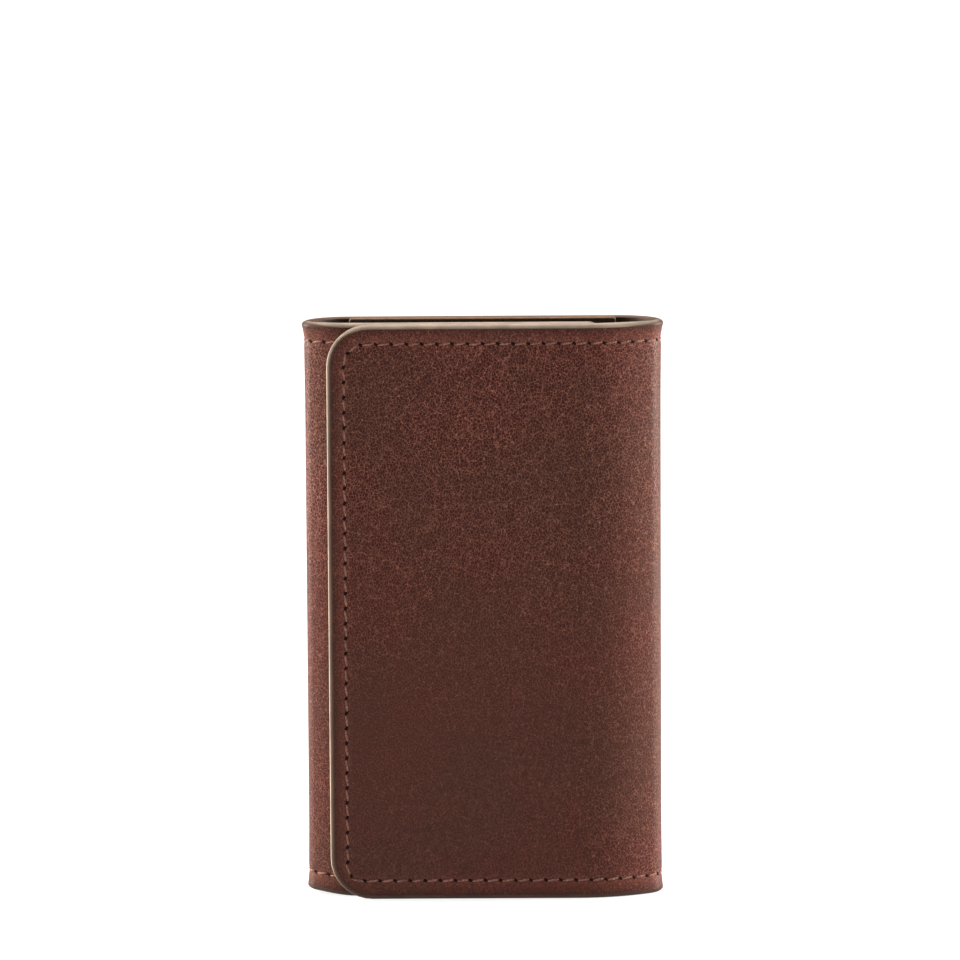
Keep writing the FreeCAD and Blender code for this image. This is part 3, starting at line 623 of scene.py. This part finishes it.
def easeOff(share):
    share = min(max(share, 0.0), 1.0)
    return 1 - share * share * (3 - 2 * share)


def nearSpine(panel, reach):
    # 1 at the spine's middle, 0 past its reach
    away = abs(reach - panel["spineAt"] * panel["track"]["length"])
    return easeOff(away / shape["spineReach"])


def swellAt(panel, reach, spot, height):
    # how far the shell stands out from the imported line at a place: soft waves, waisted spines
    spine = nearSpine(panel, reach)
    toTop = case["height"] - height
    flare = shape["flareTop"] * easeOff(toTop / shape["flareReach"])
    flare += shape["flareFoot"] * easeOff(height / shape["flareReach"])
    waist = shape["waist"] * (1 - easeOff(min(height, toTop) / shape["waistReach"]))
    wave = noise.noise(Vector((spot.x, spot.y, height)) * shape["waveScale"])
    return spine * (flare - waist) + wave * shape["wave"] * (1 - spine)


def wrapShell(bm, panel):
    # x is the way along the shell, y the depth under the outer face, z the height
    for vert in bm.verts:
        reach, depth, height = vert.co
        spot, outward = walkTrack(panel["track"], reach)
        stand = swellAt(panel, reach, spot, height) - depth
        lift = panel["footLift"] * nearSpine(panel, reach) * easeOff(height / shape["liftReach"])
        vert.co = (spot.x + outward.x * stand, spot.y + outward.y * stand, height + lift)


def finishPiece(bm, name, material):
    bmesh.ops.remove_doubles(bm, verts=bm.verts[:], dist=shape["weld"])
    bmesh.ops.recalc_face_normals(bm, faces=bm.faces[:])
    for face in bm.faces:
        face.smooth = True
    for edge in bm.edges:
        edge.smooth = len(edge.link_faces) == 2 and edge.calc_face_angle() < shape["crispAngle"]
    mesh = bpy.data.meshes.new(name)
    bm.to_mesh(mesh)
    bm.free()
    mesh.materials.append(material)
    piece = bpy.data.objects.new(name, mesh)
    bpy.context.scene.collection.objects.link(piece)
    return piece


def cutAt(bm, place, facing, clear=False):
    parts = bm.verts[:] + bm.edges[:] + bm.faces[:]
    bmesh.ops.bisect_plane(
        bm, geom=parts, dist=shape["cutSlack"], plane_co=place, plane_no=facing, clear_outer=clear
    )


def stepsBetween(first, last, step):
    count = max(1, round((last - first) / step))
    return [first + (last - first) * k / count for k in range(count + 1)]


def reachCuts(panel):
    # places along the shell that the blank is cut at, close together round the bends
    cuts = []
    for first, last, _, _, radius in panel["track"]["runs"]:
        step = radius * shape["bendStep"] if radius else shape["flatStep"]
        cuts += stepsBetween(first, last, min(step, shape["flatStep"]))[1:]
    return cuts[:-1]


def reachOfX(panel, x):
    # the way along the last flat run to a place across the case
    first, _, point, _, _ = panel["track"]["runs"][-1]
    return first + abs(x - point.x)


def layRing(bm, panel, inset, sink, lap):
    # one ring of the blank; its corners go over from the edge's radius to the seam's
    share = min((inset - lap) / (seam["edgeInset"] - lap), 1.0)
    past = max(inset - seam["edgeInset"], 0.0)
    level = inset + (seam["inset"] - seam["edgeInset"]) * share
    right = panel["track"]["length"] + (-inset if panel["corner"] else shape["overrun"])
    middle = case["height"] / 2
    line = [(-shape["overrun"] + inset, level)]
    for sign, turned, corner in zip((-1, 1), (0, math.pi / 2), panel["seamCorners"]):
        radius = (panel["corner"] - lap) * (1 - share) + corner * share - past
        radius = max(radius, shape["tightCorner"])
        centre = (right - radius, middle + sign * (middle - level - radius))
        for step in range(shape["cornerSteps"] + 1):
            turn = turned + (step / shape["cornerSteps"] - 1) * math.pi / 2
            line.append((centre[0] + radius * math.cos(turn), centre[1] + radius * math.sin(turn)))
    line.append((-shape["overrun"] + inset, case["height"] - level))
    verts = [bm.verts.new((x, sink, z)) for x, z in line]
    margin = bm.verts.layers.float["margin"]
    for vert in verts:
        vert[margin] = max(1 - inset / shape["marginReach"], 0.0)
    return verts


def cutBlank(panel, lap):
    # the flat blank, with its seam ring pressed in, cut fine enough to be bent
    bm = bmesh.new()
    bm.verts.layers.float.new("margin")
    rings = [layRing(bm, panel, inset, sink, lap) for inset, sink in ((lap, 0.0),) + shape["rings"]]
    for outer, inner in zip(rings, rings[1:]):
        for k in range(len(outer)):
            bm.faces.new((outer[k - 1], outer[k], inner[k], inner[k - 1]))
    bm.faces.new(rings[-1])
    cutAt(bm, (0, 0, 0), (-1, 0, 0), True)
    if not panel["corner"]:
        cutAt(bm, (panel["track"]["length"], 0, 0), (1, 0, 0), True)
    for reach in reachCuts(panel):
        cutAt(bm, (reach, 0, 0), (1, 0, 0))
    for height in stepsBetween(0, case["height"], shape["heightStep"])[1:-1]:
        cutAt(bm, (0, 0, height), (0, 0, 1))
    return bm


def dentForSnap(bm, panel):
    # the stud's flange presses the leather of the inner flap in
    middle = reachOfX(panel, snapSpot.x)
    for offset in stepsBetween(-shape["snapReach"], shape["snapReach"], shape["snapStep"]):
        cutAt(bm, (middle + offset, 0, 0), (1, 0, 0))
        cutAt(bm, (0, 0, snapSpot.z + offset), (0, 0, 1))
    for vert in bm.verts:
        away = math.hypot(vert.co.x - middle, vert.co.z - snapSpot.z)
        vert.co.y += shape["snapDent"] * easeOff((away - shape["snapRim"]) / (2 * shape["snapStep"]))


def thicken(bm, hidden):
    # gives the blank its back at the given depth
    grown = bmesh.ops.extrude_face_region(bm, geom=bm.faces[:])["geom"]
    for item in grown:
        if isinstance(item, bmesh.types.BMVert):
            item.co.y = hidden


def newEdges(grown):
    verts = {item for item in grown if isinstance(item, bmesh.types.BMVert)}
    edges = [item for item in grown if isinstance(item, bmesh.types.BMEdge)]
    return [edge for edge in edges if set(edge.verts) <= verts]


def sweepOn(bm, edges, stops):
    # draws the rim's section along to each stop in turn
    for before, after in zip(stops, stops[1:]):
        grown = bmesh.ops.extrude_edge_only(bm, edges=edges)["geom"]
        verts = [item for item in grown if isinstance(item, bmesh.types.BMVert)]
        bmesh.ops.translate(bm, verts=verts, vec=Vector(after) - Vector(before))
        edges = newEdges(grown)
    return edges


def turnCorner(bm, edges, centre):
    verts = list({vert for edge in edges for vert in edge.verts})
    grown = bmesh.ops.spin(
        bm, geom=verts + edges, cent=centre, axis=(0, 1, 0), angle=math.pi / 2,
        steps=shape["cornerSteps"], use_duplicate=False
    )["geom_last"]
    return newEdges(grown)


# the rim's painted light and shade: along the top the pale painted highlight is full up to a share of its
# lap, and painted shadow darkens it at the foot
paint = {
    "topFull": 0.85,
    "soft": 0.2,
    "topHighlight": 0.46,  # the painted highlight is weaker along the top edge than on the side
    "cornerDim": 0.6,  # how much of the pale painted highlight the top corner and the spines lose to painted shade
    "spineDim": 0.6,
    "topReach": 2.5 * mm,
    "footReach": 0.5 * mm,
    "fadeReach": 6.0 * mm,
}


def rimSection(bm, top):
    # a rounded lip over the whole thickness; its flat side is inside the leather
    lapped = bm.verts.layers.float["lapped"]
    ring = []
    for k in range(shape["edgeSteps"] + 1):
        turn = math.pi * (k / shape["edgeSteps"] - 0.5)
        depth = case["shell"] / 2 + (case["shell"] / 2 + shape["edgeProud"]) * math.sin(turn)
        inward = shape["edgeLap" if turn < 0 else "insideLap"] * (1 - math.cos(turn))
        vert = bm.verts.new((0, depth, case["height"] - inward if top else inward))
        vert[lapped] = 1 - math.cos(turn)
        ring.append(vert)
    return [bm.edges.new((a, b)) for a, b in zip(ring, ring[1:] + ring[:1])]


# paints light and shade into the rim's tone: a pale painted highlight on its outer rounding, weaker along
# the top, at the top corner and near the spines, and painted shadow at the foot
def tonePaint(bm, panel):
    lapped = bm.verts.layers.float["lapped"]
    tone = bm.verts.layers.float["tone"]
    for vert in bm.verts:
        reach, _, height = vert.co
        atTop = easeOff((case["height"] - height - paint["footReach"]) / paint["topReach"])
        full = paint["topFull"] * atTop * (1 - nearSpine(panel, reach))
        pale = easeOff((vert[lapped] - full) / paint["soft"]) * (1 - (1 - paint["topHighlight"]) * atTop)
        pale *= 1 - easeOff((height - paint["footReach"]) / paint["fadeReach"])
        pale *= 1 - paint["spineDim"] * nearSpine(panel, reach)
        across = reach - panel["track"]["length"] + panel["corner"]
        upward = height - case["height"] + panel["corner"]
        if across > 0 and upward > 0:
            pale *= 1 - paint["cornerDim"] * math.sin(2 * math.atan2(upward, across))
        foot = easeOff(height / paint["footReach"])
        vert[tone] = (darkTone + (1 - darkTone) * pale) * (1 - foot)


def paintRim(panel):
    length = panel["track"]["length"]
    corner = panel["corner"]
    cuts = [0.0] + [reach for reach in reachCuts(panel) if reach < length - corner] + [length - corner]
    bm = bmesh.new()
    bm.verts.layers.float.new("lapped")
    bm.verts.layers.float.new("tone")
    edges = sweepOn(bm, rimSection(bm, True), [(reach, 0, 0) for reach in cuts])
    if corner:
        edges = turnCorner(bm, edges, (length - corner, 0, case["height"] - corner))
        side = stepsBetween(case["height"] - corner, corner, -shape["heightStep"])
        edges = sweepOn(bm, edges, [(0, 0, height) for height in side])
        edges = turnCorner(bm, edges, (length - corner, 0, corner))
        sweepOn(bm, edges, [(reach, 0, 0) for reach in reversed(cuts)])
    else:
        sweepOn(bm, rimSection(bm, False), [(reach, 0, 0) for reach in cuts])
    bmesh.ops.holes_fill(bm, edges=bm.edges[:], sides=0)
    tonePaint(bm, panel)
    return bm


def seamTrack(panel):
    length = panel["track"]["length"]
    top = case["height"] - seam["inset"]
    if not panel["corner"]:
        return [layTrack((0, z), 0, 1, [(length, 0)]) for z in (top, seam["inset"])]
    foot, head = panel["seamCorners"]
    edge = length - seam["edgeInset"]
    runs = [(edge - head, 0), (head, math.pi / 2), (top - head - foot - seam["inset"], 0)]
    runs += [(foot, math.pi / 2), (edge - foot, 0)]
    return [layTrack((0, top), 0, 1, runs)]


def bead(bm, spot, heading, depth, size):
    # a small round-ended bead lying along the seam
    place = Matrix.Translation((spot.x, depth, spot.y)) @ Matrix.Rotation(-heading, 4, "Y")
    shaped = place @ Matrix.Diagonal((size[0] / 2, size[1] / 2, size[2] / 2, 1))
    matrix = shaped @ Matrix.Rotation(math.pi / 2, 4, "Y")
    bmesh.ops.create_uvsphere(
        bm, u_segments=seam["aroundSteps"], v_segments=seam["alongSteps"], radius=1.0, matrix=matrix
    )


def sewAlong(tracks, depth, lean, skip=None):
    # stitches and needle holes at a depth under the outer face
    stitches = bmesh.new()
    holes = bmesh.new()
    for track in tracks:
        count = round(track["length"] / seam["pitch"])
        pitch = track["length"] / count
        for number in range(count):
            spot, outward = walkTrack(track, (number + 0.5) * pitch)
            if skip and skip(spot):
                continue
            heading = math.atan2(outward.y, outward.x) - math.pi / 2
            size = (seam["length"], seam["height"], seam["width"])
            bead(stitches, spot, heading + lean * seam["slant"], depth, size)
            spot, outward = walkTrack(track, (number + 1) * pitch if number + 1 < count else 0.0)
            heading = math.atan2(outward.y, outward.x) - math.pi / 2
            size = (seam["holeLength"], seam["holeHeight"], seam["holeWidth"])
            bead(holes, spot, heading + lean * seam["holeTurn"], depth, size)
    return stitches, holes


def underPanel(panel):
    # tells where the inner panel covers the back's lining
    def covered(spot):
        place = walkTrack(panel["track"], spot.x)[0]
        return abs(place.x) < highCorner("key_panel").x and place.y > 0
    return covered


def fitPiece(bm, panel, name, material):
    wrapShell(bm, panel)
    piece = finishPiece(bm, name, material)
    first, last = [walkTrack(panel["track"], reach) for reach in panel["bend"]]
    start, end = [spot - outward * case["shell"] for spot, outward in (first, last)]
    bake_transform(piece, *panel["bodies"], start=(*start, 0), end=(*end, 0))
    return piece


for panelName, panel in panels.items():
    skin = cutBlank(panel, shape["edgeLap"])
    if panelName == "innerFlap":
        dentForSnap(skin, panel)
    thicken(skin, case["leather"])
    leather = fitPiece(skin, panel, panelName + "Leather", shellLeather)
    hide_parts(*[node + "_leather" for node in panel["nodes"]])
    inside = cutBlank(panel, shape["insideLap"])
    for vert in inside.verts:
        vert.co.y = case["shell"] - vert.co.y
    thicken(inside, case["leather"])
    lining = fitPiece(inside, panel, panelName + "Lining", liningLeather)
    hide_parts(*[node + "_lining" for node in panel["nodes"]])
    fitPiece(paintRim(panel), panel, panelName + "Edge", panel["paint"])
    lean = panel["track"]["outward"]
    stitches, holes = sewAlong(seamTrack(panel), seam["sink"], lean)
    thread = fitPiece(stitches, panel, panelName + "Stitches", seamThread)
    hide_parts(*[node + "_thread" for node in panel["nodes"]])
    fitPiece(holes, panel, panelName + "NeedleHoles", needleHole)
    insideDepth = case["shell"] - seam["sink"]
    stitches, holes = sewAlong(seamTrack(panel), insideDepth, -lean, underPanel(panel))
    fitPiece(stitches, panel, panelName + "InsideStitches", seamThread)
    fitPiece(holes, panel, panelName + "InsideHoles", needleHole)
    print("sewn:", panelName)


# slim folds of the hide near the top of the outer flap
creases = {
    "places": (  # across, up, length and lean
        (9.9 * mm, 99.9 * mm, 3.2 * mm, math.radians(98)),
        (9.2 * mm, 97.2 * mm, 3.4 * mm, math.radians(110)),
        (11.5 * mm, 99.5 * mm, 4.6 * mm, math.radians(99)),
    ),
    "height": 0.14 * mm,
    "width": 0.34 * mm,
}


def foldHide(panel):
    bm = bmesh.new()
    for across, up, length, lean in creases["places"]:
        spot = Vector((reachOfX(panel, across), up))
        bead(bm, spot, lean, 0.0, (length, creases["height"], creases["width"]))
    fitPiece(bm, panel, "outerFlapCreases", creaseLeather)


foldHide(panels["outerFlap"])


# the inner panel
inner = {
    "corner": 0.5 * mm,
    "cornerSteps": 6,
    "round": 0.3 * mm,
    "roundSteps": 3,
    "flatFacing": 0.95,  # faces turned further aside than this are its cut edge
    "sideInset": 0.8 * mm,
    "sideEnd": 4.0 * mm,
}


def makeInnerPanel():
    lowest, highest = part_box("key_panel")
    bm = bmesh.new()
    foot = [(lowest.x, lowest.z), (highest.x, lowest.z)]
    head = [(highest.x, highest.z), (lowest.x, highest.z)]
    verts = [bm.verts.new((x, highest.y, z)) for x, z in foot + head]
    bm.faces.new(verts)
    rounded = {"profile": 0.5, "material": -1}
    bmesh.ops.bevel(
        bm, geom=verts, affect="VERTICES", offset=inner["corner"], segments=inner["cornerSteps"], **rounded
    )
    grown = bmesh.ops.extrude_face_region(bm, geom=bm.faces[:])["geom"]
    front = [item for item in grown if isinstance(item, bmesh.types.BMVert)]
    bmesh.ops.translate(bm, verts=front, vec=(0, lowest.y - highest.y, 0))
    rim = [edge for edge in bm.edges if all(vert in front for vert in edge.verts)]
    bmesh.ops.bevel(
        bm, geom=rim, affect="EDGES", offset=inner["round"], segments=inner["roundSteps"], **rounded
    )
    piece = finishPiece(bm, "innerPanel", liningLeather)
    piece.data.materials.append(rawEdge)
    for face in piece.data.polygons:
        face.material_index = int(abs(face.normal.y) < inner["flatFacing"])
    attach(piece, "back")
    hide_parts("key_panel")
    sideX = highest.x - inner["sideInset"]
    upright = [(case["height"] - 2 * inner["sideEnd"], 0)]
    tracks = [layTrack((x, inner["sideEnd"]), math.pi / 2, 1, upright) for x in (-sideX, sideX)]
    for z in (seam["inset"], case["height"] - seam["inset"]):
        tracks.append(layTrack((-sideX, z), 0, 1, [(2 * sideX, 0)]))
    stitches, holes = sewAlong(tracks, lowest.y, 1)
    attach(finishPiece(stitches, "innerPanelStitches", seamThread), "back")
    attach(finishPiece(holes, "innerPanelHoles", needleHole), "back")


makeInnerPanel()
print("inner panel sewn on")


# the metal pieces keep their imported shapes
steelNodes = ("rail_washers", "snap_plate", "snap_spring")
for name, node in nodes.items():
    if node.hide_render:
        continue
    plain = name in steelNodes or name.endswith("_pin")
    node.data.materials.clear()
    node.data.materials.append(steel if plain else brass)
print("metal finished")


# floor, light and camera
studio = {
    "floorSize": 6.0,
    "floorGap": 0.02 * mm,
    "floorTone": 0.15,
    "floorGlow": 0.85,
    "floorRoughness": 0.8,
    "worldFront": 0.1,  # the room is lightest above and at the sides
    "worldSide": 0.8,
    "worldBack": 0.2,
    "sunPower": 3.6,
    "sunTilt": (math.radians(-20), math.radians(-8), 0.0),  # from above and a little behind
    "sunAngle": math.radians(50),
    "leftPower": 32.0,
    "rightPower": 29.0,
    "sideTint": (1.0, 0.98, 0.91),
    "sideSize": (0.35, 0.8),
    "leftPlace": (-0.9, 0.14, 0.3),
    "rightPlace": (0.9, 0.18, 0.3),
    "fillPlace": (0.24, -0.26, 0.12),  # close, so the light falls off across the front
    "fillSize": (0.1, 0.1),
    "fillPower": 0.065,
}
view = {
    "place": (0.0005, -1.088, 0.221),
    "aim": (-0.0006, 0.0, 0.0758),
    "roll": math.radians(-0.33),
    "lens": 227.0,
    "sensor": 36.0,
    "clip": (0.05, 30.0),
}


def addArea(name, place, aim, size, power, tint=(1.0, 1.0, 1.0)):
    lamp = bpy.data.lights.new(name, "AREA")
    lamp.color = tint
    lamp.shape = "RECTANGLE"
    lamp.size, lamp.size_y = size
    lamp.energy = power
    holder = bpy.data.objects.new(name, lamp)
    holder.location = place
    holder.rotation_euler = (Vector(aim) - Vector(place)).to_track_quat("-Z", "Y").to_euler()
    bpy.context.scene.collection.objects.link(holder)


def buildStudio():
    bm = bmesh.new()
    bmesh.ops.create_grid(bm, x_segments=1, y_segments=1, size=studio["floorSize"])
    bmesh.ops.translate(bm, verts=bm.verts[:], vec=(0, 0, -studio["floorGap"]))
    white, _, shader = startMaterial("studioFloor")
    shader.inputs["Base Color"].default_value = grey(studio["floorTone"])
    shader.inputs["Roughness"].default_value = studio["floorRoughness"]
    shader.inputs["Emission Color"].default_value = grey(1.0)
    shader.inputs["Emission Strength"].default_value = studio["floorGlow"]
    floor = finishPiece(bm, "studioFloor", white)
    world = bpy.data.worlds.new("studio")
    world.use_nodes = True
    tree = world.node_tree
    lit = tree.nodes["Background"]
    facing = addNode(tree, "TexCoord")
    sides = addNode(tree, "SeparateXYZ")
    join(tree, facing, "Generated", sides, 0)
    level = addSpan(tree, sides, "Y", (-1.0, 1.0), 0.0, 1.0)
    tones = [grey(studio[side]) for side in ("worldFront", "worldSide", "worldBack")]
    room = addRamp(tree, level, "Result", list(zip((0.0, 0.5, 1.0), tones)))
    join(tree, room, "Color", lit, "Color")
    seen = addNode(tree, "Background", {"Color": grey(1.0), "Strength": 1.0})
    ray = addNode(tree, "LightPath")
    mix = addNode(tree, "MixShader")
    join(tree, ray, "Is Camera Ray", mix, 0)
    tree.links.new(lit.outputs[0], mix.inputs[1])
    tree.links.new(seen.outputs[0], mix.inputs[2])
    tree.links.new(mix.outputs[0], tree.nodes["World Output"].inputs[0])
    bpy.context.scene.world = world
    sun = bpy.data.lights.new("topLight", "SUN")
    sun.energy = studio["sunPower"]
    sun.angle = studio["sunAngle"]
    holder = bpy.data.objects.new("topLight", sun)
    holder.rotation_euler = studio["sunTilt"]
    bpy.context.scene.collection.objects.link(holder)
    middle = (0, 0, case["height"] / 2)
    for side in ("left", "right"):
        place, power = studio[side + "Place"], studio[side + "Power"]
        addArea(side + "Strip", place, middle, studio["sideSize"], power, studio["sideTint"])
    addArea("rightFill", studio["fillPlace"], middle, studio["fillSize"], studio["fillPower"])


def setCamera():
    camera = bpy.data.cameras.new("photoCamera")
    camera.lens = view["lens"]
    camera.sensor_width = view["sensor"]
    camera.clip_start, camera.clip_end = view["clip"]
    holder = bpy.data.objects.new("photoCamera", camera)
    holder.location = view["place"]
    turn = (Vector(view["aim"]) - Vector(view["place"])).to_track_quat("-Z", "Y")
    holder.rotation_euler = (turn @ Quaternion((0, 0, 1), view["roll"])).to_euler()
    bpy.context.scene.collection.objects.link(holder)
    bpy.context.scene.camera = holder


buildStudio()
setCamera()
bpy.context.scene.view_settings.view_transform = "Standard"
print("studio set")

bpy.context.view_layer.update()
